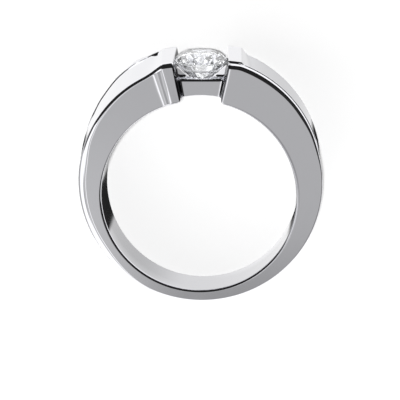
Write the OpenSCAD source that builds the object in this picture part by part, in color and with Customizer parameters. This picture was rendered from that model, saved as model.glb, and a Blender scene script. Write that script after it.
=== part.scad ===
// Bar set ring: a polished bypass band whose shoulders end in two bars that grip a round stone.
// The ring lies on its side. X runs across the finger, Y points to the stone, Z is up.
// The origin is the middle of the finger hole.

/* [Finger hole] */
// Diameter of the finger hole
bore_d = 17.3; // [15:0.1:20]

/* [Band] */
// Radius of the band's outer outline, seen along the finger
outline_r = 10.78; // [10.5:0.01:11.2]
// How far that outline's centre lies toward the stone
outline_rise = 1.18; // [0.9:0.01:1.4]
// Width of the band at the palm
palm_w = 5.7; // [4:0.1:7]
// Width of the band at the stone
head_w = 8.7; // [8:0.1:10]
// Turn of the outer form and the bars about the stone's axis
twist = 3; // [0:0.5:4]
// Slope at which the right shoulder climbs toward the side that the ring rests on
shoulder_climb = 3; // [2:0.2:3.4]
// How far the right shoulder's outline is shifted to the right
shoulder_shift = 0.16; // [0.12:0.01:0.2]

/* [Bars] */
// Half the angle of the gap between the bars, seen from the finger's centre
gap_angle = 11.5; // [10:0.5:13]
// Height of a bar's inner top edge above the finger's centre
bar_top = 12.08; // [11.9:0.01:12.3]
// Distance of a bar's outer top edge from the middle of the ring
bar_out = 3.55; // [3.2:0.05:4]
// Slope of a bar's top, down and outwards
bar_slope = 4; // [0:1:12]
// Distance from the middle of the ring to the foot of the ramp behind a bar
ramp_foot = 4.22; // [4:0.02:4.6]
// How far a bar's free end stands out of the side of the band
bar_proud = 0.2; // [0.1:0.05:0.3]
// Distance from mid width to a bar's hidden end, which stops at the wing
bar_end = 2.6; // [2.2:0.1:3]

/* [Wings] */
// Radius of the wings' outline
wing_r = 10.5; // [10.3:0.05:10.6]
// How far that outline's centre lies toward the stone
wing_rise = 1.83; // [1.7:0.01:1.9]
// Distance from mid width at which the wing's inner edge would cross the middle of the gap
wing_in = 1.6; // [1.2:0.1:2.2]
// Angle of the wing's inner edge to the band's sides
wing_slant = 13.5; // [8:0.5:16]

/* [Bridge] */
// Width of the bridge under the stone
bridge_w = 2.6; // [2.4:0.1:4]
// Height of the bridge's top above the finger's centre
bridge_top = 10.1; // [9.9:0.05:10.3]
// Thickness of the seat ledges in the corners between bars and bridge
ledge_w = 0.8; // [0.6:0.1:1.2]
// Height of the ledges' tips above the finger's centre
ledge_top = 11.25; // [11.1:0.05:11.3]

/* [Stone] */
// Diameter of the stone's girdle
stone_d = 5.0; // [4.96:0.01:5.1]
// Table width as a share of the girdle's diameter
table_share = 0.61; // [0.53:0.01:0.65]
// Crown height as a share of the girdle's diameter
crown_share = 0.15; // [0.12:0.01:0.16]
// Girdle thickness as a share of its diameter
girdle_share = 0.03; // [0.02:0.01:0.04]
// Pavilion depth as a share of the girdle's diameter
pavilion_share = 0.43; // [0.4:0.01:0.44]
// Radius at which the lower kites are widest, as a share of the girdle's
lower_share = 0.22; // [0.15:0.01:0.3]
// Turn of the stone in its seat
stone_turn = 8; // [0:0.5:22]
// Height of the table above the finger's centre
table_height = 12.36; // [12.3:0.01:12.5]
// Free space between the stone and its seat
seat_gap = 0.04; // [0.02:0.01:0.1]

/* [Hidden] */
$fn = 96;

bore_r = bore_d / 2;
palm_y = outline_rise - outline_r;
half_slope = (head_w - palm_w) / 2 / (bar_top - palm_y);
lean = atan(half_slope + bar_proud / (bar_top - palm_y));
reach = 16;
bar_top_in = bar_top * tan(gap_angle);
bar_top_out = bar_top - (bar_out - bar_top_in) * tan(bar_slope);
foot_y = outline_rise + sqrt(outline_r * outline_r - ramp_foot * ramp_foot);
bar_angle = atan(bar_out / bar_top_out);
ramp_angle = atan(ramp_foot / foot_y);

crown_h = crown_share * stone_d;
girdle_h = girdle_share * stone_d;
pavilion_h = pavilion_share * stone_d;
girdle_top = table_height - crown_h;
girdle_low = girdle_top - girdle_h;
culet = girdle_low - pavilion_h;
stone_r = stone_d / 2;
table_r = table_share * stone_r;

// Half the band's width at a height y toward the stone
function half_width(y) = palm_w / 2 + (y - palm_y) * half_slope;

// The ring as it rests: the lower side, which tapers, lies flat
module at_rest() {
    rotate([lean, 0, 0]) children();
}

// The outer form is turned a little about the stone's axis
module twisted() {
    rotate([0, twist, 0]) children();
}

// The same thing on both sides of the stone, turned half round its axis
module both_sides() {
    for (turn = [0, 180]) rotate([0, turn, 0]) children();
}

// Everything between the band's two sides, grown by extra on each
module between_sides(extra) {
    rotate([90, 0, 90])
        linear_extrude(height = 2 * reach, center = true)
            polygon([
                [-reach, -half_width(-reach) - extra], [reach, -half_width(reach) - extra],
                [reach, half_width(reach) + extra], [-reach, half_width(-reach) + extra],
            ]);
}

// A disc across the ring, from the wing's or the band's outline
module outline_disc(r, rise) {
    translate([0, rise, 0]) cylinder(r = r, h = 2 * reach, center = true);
}

// The wing in front of the right bar, which stands a little above the shoulder
module wing() {
    intersection() {
        twisted() outline_disc(wing_r, wing_rise);
        twisted()
            translate([0, 0, wing_in])
                rotate([0, -wing_slant, 0])
                    cube([reach, reach, reach]);
        between_sides(0);
    }
}

// The right shoulder, which climbs toward the lower side of the ring
module shoulder() {
    intersection() {
        translate([shoulder_shift, outline_rise + 0.12, wing_in])
            rotate([shoulder_climb, 0, 0])
                cylinder(r = outline_r - shoulder_shift - 0.02, h = 2 * reach, center = true);
        translate([1, -reach, -reach]) cube([reach, 2 * reach, 2 * reach]);
    }
}

// Side view of the right bar with its ramp
module bar_outline() {
    polygon([
        [bar_top_in / 2, 0.9 * bore_r], [bar_top_in - 1, bar_top + tan(bar_slope)], [bar_out, bar_top_out],
        [(bar_out + ramp_foot) / 2 - 0.12, (bar_top_out + foot_y) / 2 - 0.12], [ramp_foot, foot_y],
        [0.9 * bore_r * tan(ramp_angle), 0.9 * bore_r],
    ]);
}

// A point of the bar's free end on a radial line, at mid width or out at the side of the band
function end_point(r, angle, out, proud) =
    [r * sin(angle), r * cos(angle), out ? -half_width(r * cos(angle)) - proud * r / bar_top : 0];

// The right bar's free end: a slab that stands proud, and the ramp down to the side of the band
module bar_slab() {
    near = 0.9 * bore_r;
    far_angle = 2 * ramp_angle - bar_angle;
    lines = [[gap_angle - 2, bar_proud], [bar_angle, bar_proud], [far_angle, -bar_proud]];
    points = [for (r = [near, reach]) for (k = lines) for (out = [false, true]) end_point(r, k[0], out, k[1])];
    translate([-tan(twist) * head_w / 2, 0, 0])
        polyhedron(
            points = points,
            faces = [
                [6, 8, 10, 4, 2, 0], [1, 3, 9, 7], [3, 5, 11, 9], [1, 7, 6, 0], [4, 10, 11, 5],
                [0, 2, 3, 1], [2, 4, 5, 3], [6, 7, 9, 8], [8, 9, 11, 10],
            ]
        );
}

// The right bar: it runs from the wing to the lower side of the ring
module bar() {
    intersection() {
        twisted()
            translate([0, 0, bar_end - reach])
                linear_extrude(height = reach) bar_outline();
        between_sides(0);
    }
    intersection() {
        twisted()
            translate([0, 0, -reach])
                linear_extrude(height = reach) bar_outline();
        bar_slab();
    }
}

// The wedge of air between the two bars
module gap() {
    half = (reach + 4) * tan(gap_angle);
    linear_extrude(height = 2 * reach, center = true)
        polygon([[0, 0], [half, reach + 4], [-half, reach + 4]]);
}

// The plate that joins the two bars under the stone
module bridge() {
    side = bridge_top * tan(gap_angle) + 0.6;
    translate([-side, bore_r / 2, -bridge_w / 2])
        cube([2 * side, bridge_top - bore_r / 2, bridge_w]);
}

// Seat ledges under the girdle, in the corners between the bars and the bridge
module ledges() {
    linear_extrude(height = ledge_w, center = true)
        for (hand = [-1, 1])
            polygon([[hand * 0.4, 9.9], [hand * 2.35, 9.9], [hand * 2.5, ledge_top]]);
}

// The stone's outline turned round its axis and grown by the seat's free space
module seat() {
    grow = seat_gap;
    rotate([-90, 0, 0])
        rotate_extrude()
            polygon([
                [0, culet - 0.1], [0.25, culet - 0.1], [stone_r + grow, girdle_low - grow / 2], [stone_r + grow, girdle_top + grow / 2],
                [table_r + grow, table_height + grow], [0, table_height + grow],
            ]);
}

// Shank, shoulders, wings, bars and bridge are one casting
module ring_band() {
    color([0.80, 0.80, 0.82])
        at_rest()
            difference() {
                union() {
                    difference() {
                        union() {
                            intersection() {
                                twisted() {
                                    outline_disc(outline_r, outline_rise);
                                    shoulder();
                                }
                                between_sides(0);
                            }
                            both_sides() wing();
                            both_sides() bar();
                        }
                        twisted() gap();
                    }
                    twisted() bridge();
                    twisted() ledges();
                }
                cylinder(r = bore_r, h = 4 * reach, center = true);
                seat();
            }
}

// Eight points round the stone's axis, the first at the given turn
function ring_of(count, radius, height, turn) =
    [for (i = [0:count - 1]) [radius * sin(turn + i * 360 / count), height, radius * cos(turn + i * 360 / count)]];

// Round brilliant: a table, eight stars, eight kites and sixteen girdle facets above a thin girdle;
// eight kites and sixteen girdle facets below it
module stone() {
    star_r = (table_r + stone_r) / 2 + 0.02 * stone_r;
    star_y = table_height - (star_r * cos(22.5) - table_r) * crown_h / (stone_r - table_r);
    keel_r = lower_share * stone_r;
    keel_y = culet + keel_r * cos(22.5) * pavilion_h / stone_r;
    points = concat(
        ring_of(8, table_r, table_height, 0), ring_of(8, star_r, star_y, 22.5), ring_of(16, stone_r, girdle_top, 0),
        ring_of(16, stone_r, girdle_low, 0), ring_of(8, keel_r, keel_y, 22.5), [[0, culet, 0]]
    );
    next = [for (i = [0:15]) (i + 1) % 16];
    faces = concat(
        [[for (i = [0:7]) 7 - i]],
        [for (i = [0:7]) [i, (i + 1) % 8, 8 + i]],
        [for (i = [0:7]) [i, 8 + i, 16 + 2 * i, 8 + (i + 7) % 8]],
        [for (i = [0:7]) [8 + i, 17 + 2 * i, 16 + 2 * i]],
        [for (i = [0:7]) [8 + i, 16 + (2 * i + 2) % 16, 17 + 2 * i]],
        [for (i = [0:15]) [16 + i, 16 + next[i], 32 + next[i], 32 + i]],
        [for (i = [0:7]) [32 + 2 * i, 33 + 2 * i, 48 + i]],
        [for (i = [0:7]) [33 + 2 * i, 32 + (2 * i + 2) % 16, 48 + i]],
        [for (i = [0:7]) [32 + 2 * i, 48 + i, 56, 48 + (i + 7) % 8]]
    );
    color([0.90, 0.92, 0.94])
        at_rest()
            rotate([0, stone_turn, 0])
                polyhedron(points = points, faces = faces);
}

ring_band();
stone();
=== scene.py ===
# Bar set ring: a polished white gold bypass band that grips a round brilliant between two bars.
# It lies on its side on a pale studio floor, seen from above at the angle of its portrait.
import math
import bmesh
import bpy
from mathutils import Matrix, Vector


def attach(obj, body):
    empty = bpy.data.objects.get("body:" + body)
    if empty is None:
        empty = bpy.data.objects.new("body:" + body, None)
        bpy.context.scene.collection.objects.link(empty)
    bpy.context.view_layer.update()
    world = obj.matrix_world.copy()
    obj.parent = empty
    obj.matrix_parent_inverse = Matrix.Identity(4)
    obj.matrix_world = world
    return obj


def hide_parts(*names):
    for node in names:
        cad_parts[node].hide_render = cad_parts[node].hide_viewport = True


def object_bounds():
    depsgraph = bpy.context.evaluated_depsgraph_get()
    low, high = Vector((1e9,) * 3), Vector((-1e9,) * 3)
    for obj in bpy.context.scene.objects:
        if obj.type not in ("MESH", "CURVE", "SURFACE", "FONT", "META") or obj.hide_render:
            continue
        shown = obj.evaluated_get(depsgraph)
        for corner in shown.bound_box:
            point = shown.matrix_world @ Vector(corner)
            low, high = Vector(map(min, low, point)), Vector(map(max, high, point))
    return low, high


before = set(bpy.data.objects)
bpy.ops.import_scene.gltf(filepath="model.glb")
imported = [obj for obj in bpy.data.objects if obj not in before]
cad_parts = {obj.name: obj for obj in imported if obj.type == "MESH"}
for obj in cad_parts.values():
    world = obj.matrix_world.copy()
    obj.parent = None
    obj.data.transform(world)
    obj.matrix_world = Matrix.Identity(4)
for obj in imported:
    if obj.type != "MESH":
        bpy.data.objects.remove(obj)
cad_low, cad_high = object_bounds()

MM = 0.001

# The band's sizes, in millimetres and degrees. A round outline has a radius, a rise of its centre toward the
# stone and a shift of its centre to the right
BORE_R = 8.65
OUTLINE_R, OUTLINE_RISE, OUTLINE_SHIFT = 10.80, 1.18, -0.05
WING_R, WING_RISE = 10.62, 1.88
SHOULDER_R, SHOULDER_RISE, SHOULDER_SHIFT = 10.58, 1.30, 0.16
# Slope of the right shoulder and the depth that it is turned about, and how far it sinks beside the stone
SHOULDER_CLIMB, SHOULDER_FROM = math.radians(3), 1.6
SHOULDER_SINK, SINK_END = 0.3, 8
# Height and width of the palm, and what half the width gains with each millimetre toward the stone
PALM_Y, PALM_W, SIDE_SLOPE = -9.58, 5.7, 0.069412
# Height of the bars, and how far a bar's free end stands out of the side
BAR_TOP, BAR_PROUD = 12.12, 0.2
# Slope of a bar's top, where its ramp starts and a point further down the ramp: right, then left
BARS = {
    1: (math.tan(math.radians(4)), 3.62, (4.3, 11.15)),
    -1: (math.tan(math.radians(9)), 3.45, (4.4, 11.2)),
}
# Past this angle from the stone no ramp is left
RAMP_END = 40
# On the far side the left ramp's foot is nearer the stone, and all of it lies lower
FAR_FOOT, FAR_SINK = 0.1, 0.07
# A bar's proud end stops at a slanting line: start and end of its fall in degrees at the bar's top, what each
# gains down to the line's foot, how far down that is, and the fillets at the start and end
PROUD_START, PROUD_END = (16.8, 1.2), (19.7, 1.1)
PROUD_DEPTH, START_FILLET, END_FILLET = 3.3, 0.12, 0.5
# From the stone's axis to each bar's face, and how far each face turns away over its depth
GAP = 11.5
WALL_TURN = {1: math.radians(0.3), -1: math.radians(1.3)}
# Rounding of the bars' lower corners
CORNER = 0.35
# Turn of the outer form about the stone's axis, and lean of the ring when it lies on its side
TWIST = math.radians(3)
LEAN = math.radians(4.498)
# Half the depth over which the left shoulder changes from its near side to its far side
FAR_HALF = 4.3

# The stone: radius, height of its table, and heights of crown, girdle and pavilion; and its play in the seat
STONE_R, TABLE_Y, CROWN, GIRDLE, PAVILION = 2.5, 12.36, 0.75, 0.15, 2.15
SEAT_GAP = 0.04

# Along the left shoulder, by degrees from the stone: radius of the rim on the far side, climb of the surface
# toward that side, height of the thin lip on its edge, and how far the rim's step lies in from the side
RIM = [(11, 12.2), (16, 12.28), (20, 12.23), (24, 12.18), (27, 12.11), (40, 11.2), (80, 8)]
CLIMB = [(18, 0.12), (22, 0.25), (29, 0.34), (36, 0.19), (50, 0.03), (58, -0.05), (70, -0.03), (80, 0)]
LIP = [(20, 0.05), (30, 0.055), (38, 0.062), (58, 0.06), (70, 0)]
LEFT_STEP = [(11, 0.3), (18, 0.3), (22, 0.45), (26, 0.9), (30, 0.9), (36, 0.2)]
# What its near side is raised beside the bar, and over which degrees that runs out
NEAR_LIFT, LIFT_FROM, LIFT_OVER = 0.05, 18, 12
# The right shoulder's step lies this far in from the side, and further beside the bar
RIGHT_STEP, STEP_MORE, STEP_OVER = 0.52, 0.65, 11
# Rounding of the upper outer edge, by degrees round the ring from the stone over the right
NEAR_EDGE = [
    (25, 0.42), (48, 0.34), (62, 0.22), (78, 0.09), (205, 0.09), (245, 0.7), (284, 0.7), (300, 0.42),
    (306, 0.34), (328, 0.28), (338, 0.28), (343, 0.42),
]
# Rounding of the lower outer edge, and of the finger hole's edges at the palm and beside the stone
FAR_EDGE, PALM_EDGE, HEAD_EDGE = 0.14, 0.22, 0.10
EDGE_STEPS = 8
# How far below a bar's top the wing beside it stays, and up to which angle
WING_UNDER, WING_FLAT_END = 0.2, 30
# Fillets between surfaces: shank and right shoulder, a bar's top and ramp, ramp and shank, the right wing's
# flat and round parts, right wing and shank, left rim and shank
SHOULDER_FILLET, BAR_FILLET, RAMP_FILLET = 0.04, 0.07, 0.14
FLAT_FILLET, WING_FILLET, RIM_FILLET = 0.1, 0.05, 0.03

# From the ring's own axes (X across, Y to the stone, Z along the finger) to the floor's
REST = Matrix.Rotation(LEAN, 4, "X")
TURNED = Matrix.Rotation(TWIST, 4, "Y")


def soft_max(a, b, k):
    """The larger of two heights, with a fillet where they cross."""
    h = max(k - abs(a - b), 0) / k
    return max(a, b) + h * h * k / 4


def soft_min(a, b, k):
    return -soft_max(-a, -b, k)


def ease(t):
    """Goes smoothly from 0 to 1 as t does."""
    t = min(1, max(0, t))
    return t * t * (3 - 2 * t)


def by_angle(table, degrees):
    """A value from a table of degrees and values, eased between its rows."""
    for (a, low), (b, high) in zip(table, table[1:]):
        if degrees < b:
            return low + (high - low) * ease((degrees - a) / (b - a))
    return table[-1][1]


def disc(phi, rise, radius, shift=0):
    """Distance from the finger's centre to a round outline whose centre lies toward the stone."""
    along = rise * math.cos(phi) + shift * math.sin(phi)
    return along + math.sqrt(radius ** 2 - (rise * math.sin(phi) - shift * math.cos(phi)) ** 2)


def corner_round(phi):
    """How far the finger hole's wall gives way at the bars' lower corners."""
    away = max(0, min(CORNER, (abs(math.degrees(phi)) - GAP) * math.radians(1) * BORE_R))
    return CORNER - math.sqrt(CORNER ** 2 - (CORNER - away) ** 2)


def bore(phi, z):
    """Distance to the finger hole's wall, whose axis is turned from the outer form's."""
    s, c = math.sin(phi), math.cos(phi)
    a = (s * math.cos(TWIST)) ** 2 + c * c
    b = s * math.cos(TWIST) * z * math.sin(TWIST)
    return (-b + math.sqrt(b * b - a * ((z * math.sin(TWIST)) ** 2 - BORE_R ** 2))) / a + corner_round(phi)


def shoulder(phi, z):
    """The right shoulder, which climbs toward the side that the ring rests on."""
    s, c = math.sin(phi), math.cos(phi) * math.cos(SHOULDER_CLIMB)
    k = -SHOULDER_RISE * math.cos(SHOULDER_CLIMB) + (z - SHOULDER_FROM) * math.sin(SHOULDER_CLIMB)
    a = s * s + c * c
    b = -SHOULDER_SHIFT * s + c * k
    return (-b + math.sqrt(b * b - a * (SHOULDER_SHIFT ** 2 + k * k - SHOULDER_R ** 2))) / a


def far_share(z):
    """0 on the near side of the left shoulder and 1 on its far side."""
    return (FAR_HALF - z) / (2 * FAR_HALF)


def shank(phi, z):
    """Outer surface of the shank and shoulders, without wings and bars."""
    plain = disc(phi, OUTLINE_RISE, OUTLINE_R, OUTLINE_SHIFT)
    if math.sin(phi) <= 0:
        angle, far = -math.degrees(phi), far_share(z)
        lift = NEAR_LIFT * (1 - far) * (1 - ease((angle - LIFT_FROM) / LIFT_OVER))
        return plain + by_angle(CLIMB, angle) * far + lift
    sink = SHOULDER_SINK * (1 - ease(math.degrees(phi) / SINK_END))
    return soft_max(plain, shoulder(phi, z) - sink, SHOULDER_FILLET)


def bar(phi, z):
    """A bar's flat top and the ramp behind it, which on the left sinks toward the far side."""
    tilt, out, foot = BARS[1 if phi > 0 else -1]
    far = 0 if phi > 0 else far_share(z)
    foot = (foot[0] - FAR_FOOT * far, foot[1])
    angle = abs(phi)
    inner = BAR_TOP * math.tan(math.radians(GAP))
    corner = (out, BAR_TOP - (out - inner) * tilt)
    top = (BAR_TOP + inner * tilt) / (math.cos(angle) + math.sin(angle) * tilt)
    dx, dy = foot[0] - corner[0], foot[1] - corner[1]
    across = math.sin(angle) * dy - math.cos(angle) * dx
    return soft_min(top, (corner[0] * dy - corner[1] * dx) / across, BAR_FILLET) - FAR_SINK * far


def main_top(phi, z):
    """Outer surface behind the step: shoulder, ramp and bar."""
    base = shank(phi, z)
    return soft_max(base, bar(phi, z), RAMP_FILLET) if abs(math.degrees(phi)) < RAMP_END else base


def wing_top(phi, z):
    """Outer surface of the wing beside the bar, sinking into the shank lower down."""
    if phi > 0:
        tilt, out, _ = BARS[1]
        flat = (BAR_TOP - WING_UNDER + out * tilt) / (math.cos(phi) + math.sin(phi) * tilt)
        outline = disc(phi, WING_RISE, WING_R)
        if math.degrees(phi) < WING_FLAT_END:
            outline = soft_min(outline, flat, FLAT_FILLET)
        return soft_max(outline, shank(phi, z), WING_FILLET)
    angle = -math.degrees(phi)
    return soft_max(by_angle(RIM, angle), shank(phi, z) + by_angle(LIP, angle), RIM_FILLET)


def half_width(y):
    """Half the band's width along the finger, at a height toward the stone."""
    return PALM_W / 2 + (y - PALM_Y) * SIDE_SLOPE


def proud(angle, rho):
    """How far a bar's free end stands out of the side, falling to nothing along the ramp."""
    down = (BAR_TOP - rho) / PROUD_DEPTH
    start, end = (at_top + more * down for at_top, more in (PROUD_START, PROUD_END))
    t = (math.degrees(angle) - start) / (end - start)
    return BAR_PROUD * soft_max(soft_min(1 - t, 1, START_FILLET), 0, END_FILLET)


def side(phi, rho, which):
    """Depth of a side face: which is 1 for the upper face and -1 for the one it rests on."""
    y, x = rho * math.cos(phi), rho * math.sin(phi)
    out = proud(abs(phi), rho) * rho / BAR_TOP if which * phi < 0 else 0
    return (which * (half_width(y) + out) + x * math.sin(TWIST)) / math.cos(TWIST)


def rounded(corner, before, after, radius, steps):
    """Points of a fillet at a corner of the section, given its two neighbours."""
    c, p, n = Vector(corner), Vector(before), Vector(after)
    u, v = (p - c).normalized(), (n - c).normalized()
    half = u.angle(v) / 2
    centre = c + (u + v).normalized() * radius / math.sin(half)
    start = c + u * radius / math.tan(half) - centre
    end = c + v * radius / math.tan(half) - centre
    swing = start.angle(end)
    return [
        tuple(centre + (start * math.sin(swing * (1 - t)) + end * math.sin(swing * t)) / math.sin(swing))
        for t in [i / steps for i in range(steps + 1)]
    ]


def between(a, b, shares):
    """Points on the way from one point of a section to another."""
    return [(a[0] + (b[0] - a[0]) * t, a[1] + (b[1] - a[1]) * t) for t in shares]


# The step between wing and shoulder: distance from its line, share of its height, height of the wing's lip
STEP = [
    (0.12, 1, 0), (0.10, 1, 0.015), (0.075, 1, 0.07), (0.05, 1, 0.085), (0.02, 1, 0.085),
    (-0.01, 0.97, 0.06), (-0.04, 0.6, 0), (-0.08, 0, 0),
]
# How far the step's line stays off the edge's rounding
STEP_CLEAR = 0.13
# The lip rises and runs out over these degrees: start, length
LIP_RISE, LIP_FALL = (14, 6), (58, 14)
# Round the palm the right-hand pattern of points hands over to the left-hand one: start, length
HANDOVER = (120, 120)
# The finger hole's edges are rounded less within this angle from the stone: start, length
EDGE_GROWS = (60, 40)
# Rows of points on wing and shoulder, on the side faces and on the finger hole's wall, as shares of each
WING_ROWS = {1: (0.15, 0.4, 0.7), -1: (0.3, 0.6, 0.85)}
MAIN_ROWS = {1: (0.15, 0.35, 0.55, 0.75, 0.9, 0.98), -1: (0.02, 0.1, 0.25, 0.45, 0.65, 0.85)}
SIDE_ROWS = (0.02, 0.5, 0.98)
WALL_ROWS = (0.02, 0.15, 0.35, 0.5, 0.65, 0.85, 0.98)
# A corner's distance and depth depend on each other: first guess of the outer one's distance, and how many
# rounds the outer and the inner ones take to settle
OUTER_GUESS, OUTER_ROUNDS, INNER_ROUNDS = 11, 4, 3


def bore_edge(phi):
    """Rounding of the finger hole's edges: smaller beside the stone than round the palm."""
    start, length = EDGE_GROWS
    return PALM_EDGE - (PALM_EDGE - HEAD_EDGE) * (1 - ease((abs(math.degrees(phi)) - start) / length))


def step_inset(phi):
    """How far the step between wing and shoulder lies in from the side."""
    angle = abs(math.degrees(phi))
    if phi > 0:
        return RIGHT_STEP + STEP_MORE * (1 - ease((angle - GAP) / STEP_OVER))
    return by_angle(LEFT_STEP, angle)


def spread(start, end, shares):
    """Depths on the way from one depth to another."""
    return [start + (end - start) * t for t in shares]


def outer_points(phi, side_near, side_far, z_near, z_far, hand):
    """The outer surface from the upper face to the lower one; hand is 1 for the right-hand pattern.

    Each point is a depth, the wing's share in its height and the lip's height."""
    if hand > 0:
        line = min(side_near - step_inset(abs(phi)), z_near - STEP_CLEAR)
        cluster = [(line + d, share, lip) for d, share, lip in STEP]
        wing = [(z, 1, 0) for z in spread(z_near, cluster[0][0], WING_ROWS[hand])]
        return wing + cluster + [(z, 0, 0) for z in spread(cluster[-1][0], z_far, MAIN_ROWS[hand])]
    line = max(side_far + step_inset(-abs(phi)), z_far + STEP_CLEAR)
    cluster = [(line - d, share, 0) for d, share, _ in reversed(STEP)]
    main = [(z, 0, 0) for z in spread(z_near, cluster[0][0], MAIN_ROWS[hand])]
    return main + cluster + [(z, 1, 0) for z in spread(cluster[-1][0], z_far, WING_ROWS[hand])]


def section(phi):
    """Section through the band at an angle from the stone, as (distance from the centre, depth)."""
    corner = {}
    for which in (1, -1):
        outside = wing_top if which * phi > 0 else main_top
        z = side(phi, OUTER_GUESS, which)
        for _ in range(OUTER_ROUNDS):
            rho = outside(phi, z)
            z = side(phi, rho, which)
        corner["out", which] = (rho, z)
        z = side(phi, BORE_R, which)
        for _ in range(INNER_ROUNDS):
            rho = bore(phi, z)
            z = side(phi, rho, which)
        corner["in", which] = (rho, z)
    near_out, far_out = corner["out", 1], corner["out", -1]
    near_in, far_in = corner["in", 1], corner["in", -1]
    near_edge = by_angle(NEAR_EDGE, math.degrees(phi) % 360)
    top = rounded(near_out, near_in, (near_out[0], far_out[1]), near_edge, EDGE_STEPS)
    low = rounded(far_out, (far_out[0], near_out[1]), far_in, FAR_EDGE, EDGE_STEPS)
    low_in = rounded(far_in, far_out, near_in, bore_edge(phi), EDGE_STEPS)
    top_in = rounded(near_in, far_in, near_out, bore_edge(phi), EDGE_STEPS)
    z_near, z_far = top[-1][1], low[0][1]
    right, left = (outer_points(phi, near_out[1], far_out[1], z_near, z_far, hand) for hand in (1, -1))
    mix = ease((math.degrees(phi % (2 * math.pi)) - HANDOVER[0]) / HANDOVER[1])
    angle = abs(math.degrees(phi))
    lip_height = (1 - ease((angle - LIP_FALL[0]) / LIP_FALL[1])) * ease((angle - LIP_RISE[0]) / LIP_RISE[1])
    outer = []
    for (z_right, share_right, lip), (z_left, share_left, _) in zip(right, left):
        z = z_right + (z_left - z_right) * mix
        share = share_right if mix == 0 else share_left if mix == 1 else 0
        main, wing = main_top(phi, z), wing_top(phi, z)
        outer.append((main + (wing - main) * share + lip * lip_height * (1 - mix), z))
    upper = between(top_in[-1], top[0], SIDE_ROWS)
    lower = between(low[-1], low_in[0], SIDE_ROWS)
    wall = [(bore(phi, z), z) for _, z in between(low_in[-1], top_in[0], WALL_ROWS)]
    return upper + top + outer + low + lower + low_in + wall + top_in


def on_floor(x, y, z):
    """A point of the ring where it lies, from millimetres on the outer form's axes."""
    return REST @ TURNED @ Vector((x, y, z)) * MM


def place(phi, rho, z):
    return on_floor(rho * math.sin(phi), rho * math.cos(phi), z)


# Points nearer to each other than this are merged, in metres: on the band's seam, and at the seat's poles
SEAM, POLE = 1e-8, 1e-7


def swept(rings):
    """A grid of rows and columns bent into a tube: one row for each section, round its outline."""
    rows, columns = len(rings), len(rings[0])
    bm = bmesh.new()
    made = bmesh.ops.create_grid(bm, x_segments=columns, y_segments=rows - 1, size=1)
    order = sorted(made["verts"], key=lambda v: (round(v.co.y, 6), round(v.co.x, 6)))
    for i, vert in enumerate(order):
        row, column = divmod(i, columns + 1)
        vert.co = rings[row][column % columns]
    bmesh.ops.remove_doubles(bm, verts=bm.verts, dist=SEAM)
    return bm


# Rounding of a bar's end: the least, what it has more on its upper edge, from which depth below the upper
# face and over what length that grows, and between which distances from the finger's centre it is full
END_LEAST, END_MORE = 0.08, 0.1
END_DEPTH, END_GROWS = 0.5, 0.3
END_LOW, END_HIGH = (8.9, 0.4), (11.7, 0.3)
END_STEPS = 6


def end_width(rho, z, z_near):
    """Rounding of a bar's end: large on its upper edge, small round the stone and below."""
    full = ease((rho - END_LOW[0]) / END_LOW[1]) * (1 - ease((rho - END_HIGH[0]) / END_HIGH[1]))
    return END_LEAST + END_MORE * ease((z - z_near + END_DEPTH) / END_GROWS) * (0.5 + 0.5 * full)


def bar_end(degrees, hand):
    """Sections that round a bar's end, from its side to its flat face toward the stone."""
    phi = math.radians(degrees)
    flat = section(phi)
    z_near, z_far = max(z for _, z in flat), min(z for _, z in flat)
    widths = [end_width(rho, z, z_near) for rho, z in flat]
    count = len(flat)
    inward = []
    for i in range(count):
        before, after = Vector(flat[i - 1]), Vector(flat[(i + 1) % count])
        along = (after - before).normalized()
        inward.append(Vector((-along.y, along.x)))
    middle = Vector((sum(rho for rho, _ in flat) / count, sum(z for _, z in flat) / count))
    if (middle - Vector(flat[0])).dot(inward[0]) < 0:
        inward = [-v for v in inward]
    rings = []
    for i in range(END_STEPS + 1):
        turn = math.radians(90 * i / END_STEPS)
        ring = []
        for j, (width, v) in enumerate(zip(widths, inward)):
            back = width * (1 - math.sin(turn)) / flat[j][0]
            closer = WALL_TURN[hand] * (z_near - flat[j][1]) / (z_near - z_far)
            angle = phi + hand * (back - closer)
            rho, z = section(angle)[j]
            inset = v * width * (1 - math.cos(turn))
            ring.append(place(angle, rho + inset.x, z + inset.y))
        rings.append(ring)
    return rings


def close_ends(bm):
    """Closes the open ends with flat faces."""
    rims = [e for e in bm.edges if e.is_boundary]
    bmesh.ops.holes_fill(bm, edges=rims, sides=0)
    bmesh.ops.recalc_face_normals(bm, faces=bm.faces)


def as_object(bm, name):
    """Makes a bmesh an object of the scene, at the origin."""
    mesh = bpy.data.meshes.new(name)
    bm.normal_update()
    bm.to_mesh(mesh)
    bm.free()
    obj = bpy.data.objects.new(name, mesh)
    bpy.context.scene.collection.objects.link(obj)
    return obj


# Angles of the sections: close together at the bars and ramps, even along the shank
NEAR_GAP = [
    13.4, 14.2, 15.2, 15.8, 16.2, 16.5, 16.8, 17.2, 17.6, 18.1, 18.6, 19.1, 19.6, 20.1, 20.5, 20.9, 21.3, 21.8,
    22.4, 23.2,
]
EVEN_FROM, EVEN_STEP = 24, 1.5
even_count = int((360 - 2 * EVEN_FROM) / EVEN_STEP) + 1
angles = NEAR_GAP + [EVEN_FROM + EVEN_STEP * i for i in range(even_count)]
angles += [360 - a for a in reversed(NEAR_GAP)]
sections = list(reversed(bar_end(GAP, 1)))
for degrees in angles:
    phi = math.radians(degrees if degrees < 180 else degrees - 360)
    sections.append([place(phi, rho, z) for rho, z in section(phi)])
sections += bar_end(-GAP, -1)
band_mesh = swept(sections)
close_ends(band_mesh)
band = as_object(band_mesh, "ring_band_polished")

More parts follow.
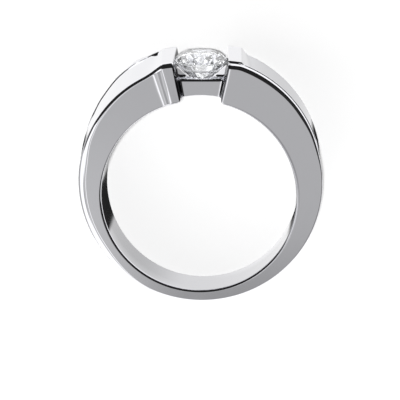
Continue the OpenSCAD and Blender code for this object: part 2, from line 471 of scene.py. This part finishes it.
# The bridge: half its width, its height, radius of its flare and the distance from the finger's centre at
# which that is measured, how far its underside stays off the finger hole, and rounding of its four edges
BRIDGE_HALF, BRIDGE_TOP = 1.3, 10.27
FLARE, FLARE_AT, BRIDGE_OFF = 0.3, 9.4, 0.004
BRIDGE_EDGES, BRIDGE_STEPS = (0.10, 0.34, 0.34, 0.10), 5
# A flat side longer than this gets points at these shares of its length
LONG_SIDE, LONG_ROWS = 0.5, (0.03, 0.5, 0.97)


def bridge_section(phi):
    """Section of the bridge, which flares where it runs into the bars."""
    room = (GAP - abs(math.degrees(phi))) * math.radians(1) * FLARE_AT
    flare = FLARE - math.sqrt(max(0, FLARE ** 2 - (FLARE - max(0, min(FLARE, room))) ** 2))
    half, high = BRIDGE_HALF + flare, (BRIDGE_TOP + flare) / math.cos(phi)
    low = BORE_R + BRIDGE_OFF
    corners = [(low, half), (high, half), (high, -half), (low, -half)]
    points = []
    for i, radius in enumerate(BRIDGE_EDGES):
        points += rounded(corners[i], corners[i - 1], corners[(i + 1) % 4], radius, BRIDGE_STEPS)
    outline = []
    for a, b in zip(points, points[1:] + points[:1]):
        outline.append(a)
        if math.dist(a, b) > LONG_SIDE:
            outline += between(a, b, LONG_ROWS)
    return outline


# Angles of the bridge's sections: close together where it flares, and on into the bars
turns = [-15, -13, -11.6] + [-11.4 + 0.25 * i for i in range(9)]
turns += [-9 + 1.5 * i for i in range(13)]
turns += [9.4 + 0.25 * i for i in range(9)] + [11.6, 13, 15]
bridge_rings = []
for turn in map(math.radians, turns):
    bridge_rings.append([place(turn, rho, z) for rho, z in bridge_section(turn)])
bridge_mesh = swept(bridge_rings)
close_ends(bridge_mesh)
bridge = as_object(bridge_mesh, "bridge_tool")

# Seat ledges, right and left: the corners' place across the ring, height and half the thickness there
LEDGES = [
    [(2.5, 11.25, 0.4), (2.35, 9.9, 0.4), (0.4, 9.9, 0.2)],
    [(-2.5, 11.25, 0.38), (-2.35, 9.9, 0.38), (-0.4, 9.9, 0.30)],
]


def ledge(corners):
    """Seat ledge under the stone's girdle, in the corner between bar and bridge, with bright-cut ends."""
    bm = bmesh.new()
    verts = [bm.verts.new(on_floor(x, y, z * way)) for x, y, z in corners for way in (1, -1)]
    bmesh.ops.convex_hull(bm, input=verts)
    bmesh.ops.recalc_face_normals(bm, faces=bm.faces)
    return as_object(bm, "ledge_tool")


# The seat tool: how far it reaches below the culet, radius of its blunt point and of its top, and its steps
SEAT_BELOW, SEAT_POINT, SEAT_TOP, SEAT_STEPS = 0.1, 0.25, 1.6, 96


def seat_tool():
    """The stone's outline turned round its axis, a little larger all round."""
    girdle_top = TABLE_Y - CROWN
    girdle_low = girdle_top - GIRDLE
    bottom = girdle_low - PAVILION - SEAT_BELOW
    wide, top = STONE_R + SEAT_GAP, TABLE_Y + SEAT_GAP
    outline = [
        (0, bottom), (SEAT_POINT, bottom), (wide, girdle_low - SEAT_GAP / 2), (wide, girdle_top + SEAT_GAP / 2),
        (SEAT_TOP, top), (0, top),
    ]
    bm = bmesh.new()
    verts = [bm.verts.new((x * MM, y * MM, 0)) for x, y in outline]
    edges = [bm.edges.new(pair) for pair in zip(verts, verts[1:])]
    bmesh.ops.spin(bm, geom=verts + edges, cent=(0, 0, 0), axis=(0, 1, 0), dvec=(0, 0, 0), angle=2 * math.pi,
                   steps=SEAT_STEPS, use_merge=True, use_normal_flip=False)
    bmesh.ops.remove_doubles(bm, verts=bm.verts, dist=POLE)
    bmesh.ops.recalc_face_normals(bm, faces=bm.faces)
    bmesh.ops.transform(bm, matrix=REST, verts=bm.verts)
    return as_object(bm, "seat_tool")


def baked(obj):
    """Applies an object's modifiers to its mesh."""
    graph = bpy.context.evaluated_depsgraph_get()
    mesh = bpy.data.meshes.new_from_object(obj.evaluated_get(graph))
    obj.modifiers.clear()
    old, obj.data = obj.data, mesh
    mesh.name = obj.name
    bpy.data.meshes.remove(old)


def combine(target, tool, operation):
    """Joins a tool to the target, or cuts it out, and removes the tool."""
    change = target.modifiers.new("join", "BOOLEAN")
    change.operation, change.solver, change.object = operation, "MANIFOLD", tool
    bpy.context.view_layer.update()
    baked(target)
    bpy.data.objects.remove(tool)


combine(band, bridge, "UNION")
for corners in LEDGES:
    combine(band, ledge(corners), "UNION")
combine(band, seat_tool(), "DIFFERENCE")
for polygon in band.data.polygons:
    polygon.use_smooth = True
band.data.set_sharp_from_angle(angle=math.radians(40))
even = band.modifiers.new("flats", "WEIGHTED_NORMAL")
even.mode, even.weight, even.keep_sharp = "FACE_AREA", 90, True
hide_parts("ring_band")
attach(band, "root")


# Materials
def linear(hex_code):
    """An sRGB hex colour as linear values."""
    parts = [int(hex_code[i:i + 2], 16) / 255 for i in (1, 3, 5)]
    return [c / 12.92 if c <= 0.04045 else ((c + 0.055) / 1.055) ** 2.4 for c in parts] + [1]


def add(tree, kind, settings=None, links=None):
    """Adds a node with its settings and its links, given as socket name: output socket."""
    node = tree.nodes.new(kind)
    for key, value in (settings or {}).items():
        if isinstance(key, int) or key in node.inputs:
            node.inputs[key].default_value = value
        else:
            setattr(node, key, value)
    for key, source in (links or {}).items():
        tree.links.new(source, node.inputs[key])
    return node


def new_material(name):
    material = bpy.data.materials.new(name)
    material.use_nodes = True
    tree = material.node_tree
    tree.nodes.clear()
    return material, tree


def polished_white_gold():
    # White gold, cast, filed, buffed and rhodium plated: a cool mirror whose hairlines from the last cloth
    # are under a hundredth of a millimetre, drawn at 0.15 mm so that they soften a highlight a little
    material, tree = new_material("white_gold_polished")
    position = add(tree, "ShaderNodeTexCoord").outputs["Object"]
    # The buff's passes, a millimetre and a half apart, leave the gloss a little uneven
    passes = add(tree, "ShaderNodeTexNoise", {"Scale": 1 / (1.5 * MM), "Detail": 3}, {"Vector": position})
    rough = add(tree, "ShaderNodeMapRange", {"To Min": 0.04, "To Max": 0.075}, {"Value": passes.outputs["Fac"]})
    # The finger hole is polished by hand only, so less sharp; its greyer colour is painted shade for the inside
    # of the ring
    unleaned = add(tree, "ShaderNodeMapping", {"Rotation": (-LEAN, -TWIST, 0)}, {"Vector": position})
    across = add(tree, "ShaderNodeVectorMath", {"operation": "MULTIPLY", 1: (1, 1, 0)},
                 {0: unleaned.outputs["Vector"]})
    radius = add(tree, "ShaderNodeVectorMath", {"operation": "LENGTH"}, {0: across.outputs["Vector"]})
    hole = add(tree, "ShaderNodeMapRange", {"From Min": 8.76 * MM, "From Max": 8.66 * MM, "To Max": 1.0},
               {"Value": radius.outputs["Value"]})
    rough = add(tree, "ShaderNodeMath", {"operation": "MULTIPLY_ADD", 1: 0.05},
                {0: hole.outputs["Result"], 2: rough.outputs["Result"]})
    # Painted shade: the finger hole's colour is made greyer than the outside
    colour = add(tree, "ShaderNodeMix", {"data_type": "RGBA", 6: linear("#E3E3E7"), 7: linear("#BEBEC2")},
                 {0: hole.outputs["Result"]})
    # The gap's walls, which the wheel doesn't reach, are left satin; their dark grey colour is painted shade,
    # standing in for the dark hollow between the bars that they mirror.
    # They lie between two slopes from the finger's centre, under the bars' tops and on the stone's side of the
    # finger
    axes = add(tree, "ShaderNodeSeparateXYZ", None, {"Vector": unleaned.outputs["Vector"]}).outputs
    slope = add(tree, "ShaderNodeMath", {"operation": "DIVIDE"}, {0: axes["X"], 1: axes["Y"]})
    slope = add(tree, "ShaderNodeMath", {"operation": "ABSOLUTE"}, {0: slope.outputs[0]})
    wall = add(tree, "ShaderNodeMapRange", {"From Min": 0.2185, "From Max": 0.2145},
               {"Value": slope.outputs[0]}).outputs["Result"]
    above_bridge = add(tree, "ShaderNodeMapRange", {"From Min": 0.198, "From Max": 0.2015},
                       {"Value": slope.outputs[0]})
    under_top = add(tree, "ShaderNodeMapRange", {"From Min": 12.0 * MM, "From Max": 11.8 * MM},
                    {"Value": axes["Y"]})
    stone_side = add(tree, "ShaderNodeMath", {"operation": "GREATER_THAN", 1: 8.2 * MM}, {0: axes["Y"]})
    for limit in (above_bridge.outputs["Result"], under_top.outputs["Result"], stone_side.outputs[0]):
        wall = add(tree, "ShaderNodeMath", {"operation": "MULTIPLY"}, {0: wall, 1: limit}).outputs[0]
    # Painted shade: the gap's walls take a dark grey colour in place of the shade in the hollow between the
    # bars
    colour = add(tree, "ShaderNodeMix", {"data_type": "RGBA", 7: linear("#5C5C60")},
                 {0: wall, 6: colour.outputs[2]})
    rough = add(tree, "ShaderNodeMath", {"operation": "MULTIPLY_ADD", 1: 0.15},
                {0: wall, 2: rough.outputs["Value"]})
    hairlines = add(tree, "ShaderNodeTexNoise", {"Scale": 1 / (0.15 * MM), "Detail": 2}, {"Vector": position})
    bump = add(tree, "ShaderNodeBump", {"Strength": 0.02, "Distance": 0.005 * MM},
               {"Height": hairlines.outputs["Fac"]})
    shader = add(tree, "ShaderNodeBsdfPrincipled", {"Metallic": 1.0},
                 {"Base Color": colour.outputs[2], "Roughness": rough.outputs["Value"],
                  "Normal": bump.outputs["Normal"]})
    add(tree, "ShaderNodeOutputMaterial", None, {"Surface": shader.outputs["BSDF"]})
    return material


def brilliant_cut():
    # A diamond-like brilliant: polished facets as clear as water, and a girdle left as fine ground glass.
    # The scatter in its clear part stands for facets within facets that are too small to show
    material, tree = new_material("clear_brilliant")
    position = add(tree, "ShaderNodeTexCoord").outputs["Object"]
    unleaned = add(tree, "ShaderNodeMapping", {"Rotation": (-LEAN, 0, 0)}, {"Vector": position})
    height = add(tree, "ShaderNodeSeparateXYZ", None, {"Vector": unleaned.outputs["Vector"]}).outputs["Y"]
    middle = TABLE_Y - CROWN - GIRDLE / 2
    on_girdle = add(tree, "ShaderNodeMath", {"operation": "COMPARE", 1: middle * MM, 2: 0.08 * MM},
                    {0: height})
    rough = add(tree, "ShaderNodeMapRange", {"To Min": 0.0, "To Max": 0.25}, {"Value": on_girdle.outputs[0]})
    clear = add(tree, "ShaderNodeMapRange", {"To Min": 0.87, "To Max": 0.7}, {"Value": on_girdle.outputs[0]})
    shader = add(tree, "ShaderNodeBsdfPrincipled", {"Base Color": linear("#FAFBFD"), "IOR": 2.417},
                 {"Roughness": rough.outputs["Result"], "Transmission Weight": clear.outputs["Result"]})
    add(tree, "ShaderNodeOutputMaterial", None, {"Surface": shader.outputs["BSDF"]})
    return material


def pale_paper():
    # Uncoated paper, pressed and left matt: an even pale grey without gloss
    material, tree = new_material("studio_paper")
    shader = add(tree, "ShaderNodeBsdfPrincipled", {"Base Color": linear("#CFCFCF"), "Roughness": 0.9})
    add(tree, "ShaderNodeOutputMaterial", None, {"Surface": shader.outputs["BSDF"]})
    return material


band.data.materials.clear()
band.data.materials.append(polished_white_gold())
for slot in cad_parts["stone"].material_slots:
    slot.material = brilliant_cut()

# Floor
FLOOR_HALF = 1.5
floor_mesh = bmesh.new()
bmesh.ops.create_grid(floor_mesh, x_segments=2, y_segments=2, size=FLOOR_HALF)
bmesh.ops.translate(floor_mesh, vec=(0, 0, cad_low.z), verts=floor_mesh.verts)
floor = as_object(floor_mesh, "floor")
floor.data.materials.append(pale_paper())
floor.visible_glossy = False

# Light: a soft white tent with grey and black panels. Each is placed for what one of the ring's surfaces
# mirrors toward the portrait's camera. X is to the right, Y toward the stone's end and Z up
world = bpy.data.worlds.new("studio")
bpy.context.scene.world = world
world.use_nodes = True
sky = world.node_tree
sky.nodes.clear()
toward = add(sky, "ShaderNodeTexCoord").outputs["Generated"]
split = add(sky, "ShaderNodeSeparateXYZ", None, {"Vector": toward}).outputs
X, Y, Z = split["X"], split["Y"], split["Z"]
TENT_WHITE = 1.35


def patch(azimuth, from_top, inner, outer):
    """Limit for a round patch of the tent with a soft rim, in degrees; azimuth runs from +Y toward +X."""
    az, top = math.radians(azimuth), math.radians(from_top)
    axis = (math.sin(top) * math.sin(az), math.sin(top) * math.cos(az), math.cos(top))
    along = add(sky, "ShaderNodeVectorMath", {"operation": "DOT_PRODUCT", 1: axis}, {0: toward})
    return along.outputs["Value"], math.cos(math.radians(outer)), math.cos(math.radians(inner))


def bent(value, operation, slope):
    """A value that also changes along X, on one half of the tent or on both, so that a panel's rim bends."""
    half = add(sky, "ShaderNodeMath", {"operation": operation, 1: 0.0}, {0: X}).outputs[0]
    return add(sky, "ShaderNodeMath", {"operation": "MULTIPLY_ADD", 1: slope}, {0: half, 2: value}).outputs[0]


def panel(tent, brightness, *limits):
    """Lays a panel of one brightness over the tent, inside all its limits.

    A limit is a value and the two levels between which the panel fades in smoothly."""
    mask = None
    for value, start, end in limits:
        share = add(sky, "ShaderNodeMapRange",
                    {"interpolation_type": "SMOOTHSTEP", "From Min": start, "From Max": end}, {"Value": value})
        share = share.outputs["Result"]
        if mask is not None:
            share = add(sky, "ShaderNodeMath", {"operation": "MULTIPLY"}, {0: mask, 1: share}).outputs[0]
        mask = share
    settings = {"data_type": "FLOAT", "A": TENT_WHITE, "B": brightness}
    links = {"Factor": mask} if tent is None else {"Factor": mask, "A": tent}
    return add(sky, "ShaderNodeMix", settings, links).outputs["Result"]


# The upper face mirrors a grey panel overhead, and is lighter at its lower left and darker toward the palm
face = patch(180, 20, 22, 36)
tent = panel(None, 0.53, face)
tent = panel(tent, 0.63, (X, -0.058, -0.076), (Y, -0.385, -0.41), face)
tent = panel(tent, 0.33, (X, -0.074, -0.060), (Y, -0.412, -0.432), face)
# A white band along the left edge, with a thin grey line outside it
tent = panel(tent, 0.42, patch(-127, 47, 4, 9))
tent = panel(tent, 1.30, (X, -0.09, -0.17), (X, -0.27, -0.22), (Y, -0.15, -0.25))
# Black from overhead to the stone's end, which draws the dark line along the shoulders' edges
above_floor = (bent(Z, "ABSOLUTE", 0.3), 0.08, 0.16)
tent = panel(tent, 0.02, (bent(Y, "MINIMUM", 0.35), -0.237, -0.205), above_floor)
# Black on the right for the line inside the right edge, and low on the left for the left shoulder's strokes
tent = panel(tent, 0.03, patch(110, 45, 30, 36))
tent = panel(tent, 0.03, patch(-16, 98, 14, 18))
tent = panel(tent, 0.03, patch(-65, 95, 26, 30))
# The finger hole mirrors what is straight down: light, greyer on the right, black toward the palm
below = (Z, -0.80, -0.93)
tent = panel(tent, 1.04, below)
tent = panel(tent, 0.70, below, (X, 0.0, 0.22))
tent = panel(tent, 0.02, below, (bent(Y, "MAXIMUM", -0.35), -0.078, -0.098))
# Grey for the left edge's outline, and a grey slit in the black toward the palm
tent = panel(tent, 0.50, patch(-101, 128, 20, 25))
tent = panel(tent, 0.6, below, (X, -0.05, -0.04), (X, 0.03, 0.01), (Y, -0.08, -0.1))
# Light that has passed through the stone meets a tent of lamps instead, for its fire. Where the lamps are
# decides which facets flash
depth = add(sky, "ShaderNodeLightPath").outputs["Transmission Depth"]
through_stone = add(sky, "ShaderNodeMath", {"operation": "GREATER_THAN", 1: 0.5}, {0: depth}).outputs[0]
lamps_at = add(sky, "ShaderNodeMapping", {"Location": (7, 17, 3)}, {"Vector": toward}).outputs["Vector"]
lamps = add(sky, "ShaderNodeTexNoise", {"Scale": 5.0, "Detail": 3.0}, {"Vector": lamps_at})
fire = add(sky, "ShaderNodeMapRange", {"From Min": 0.38, "From Max": 0.62, "To Min": 0.85, "To Max": 2.7},
           {"Value": lamps.outputs["Fac"]}).outputs["Result"]
lit = add(sky, "ShaderNodeMix", {"data_type": "FLOAT"}, {"Factor": through_stone, "A": tent, "B": fire})
background = add(sky, "ShaderNodeBackground", {"Color": (1, 1, 1, 1)}, {"Strength": lit.outputs["Result"]})
add(sky, "ShaderNodeOutputWorld", None, {"Surface": background.outputs["Background"]})

# A soft lamp overhead lights the paper alone: metal and stone don't mirror it
overhead_data = bpy.data.lights.new("overhead", "AREA")
overhead_data.shape, overhead_data.size, overhead_data.energy = "DISK", 0.06, 14.0
overhead = bpy.data.objects.new("overhead", overhead_data)
overhead.location = REST @ Vector((0.035, 0.16, 0.98))
overhead.rotation_euler = (-overhead.location).to_track_quat("-Z", "Y").to_euler()
overhead.visible_glossy = False
overhead.visible_camera = False
overhead.visible_transmission = False
bpy.context.scene.collection.objects.link(overhead)

# Camera: its direction on the ring's own axes, its distance and the point it aims at, in millimetres
AZIMUTH, ELEVATION, DISTANCE = math.radians(3.2), math.radians(11.5), 400
AIM_LEFT, AIM_DOWN = 0.085, 1.040
LENS, SENSOR = 403.4, 36
rest = REST.to_3x3()
back = rest @ Vector((math.sin(AZIMUTH) * math.cos(ELEVATION), math.sin(ELEVATION),
                      math.cos(AZIMUTH) * math.cos(ELEVATION)))
right = rest @ Vector((math.cos(AZIMUTH), 0, -math.sin(AZIMUTH)))
up = back.cross(right)
eye = back * DISTANCE
aim = -right * AIM_LEFT - up * AIM_DOWN
away = (eye - aim).normalized()
across = up.cross(away).normalized()
upright = away.cross(across)
camera_data = bpy.data.cameras.new("camera")
camera_data.sensor_width, camera_data.lens = SENSOR, LENS
camera_data.clip_start, camera_data.clip_end = 0.02, 20
camera = bpy.data.objects.new("camera", camera_data)
camera.matrix_world = Matrix((
    (across.x, upright.x, away.x, eye.x * MM), (across.y, upright.y, away.y, eye.y * MM),
    (across.z, upright.z, away.z, eye.z * MM), (0, 0, 0, 1),
))
bpy.context.scene.collection.objects.link(camera)
bpy.context.scene.camera = camera
bpy.context.scene.view_settings.view_transform = "Standard"
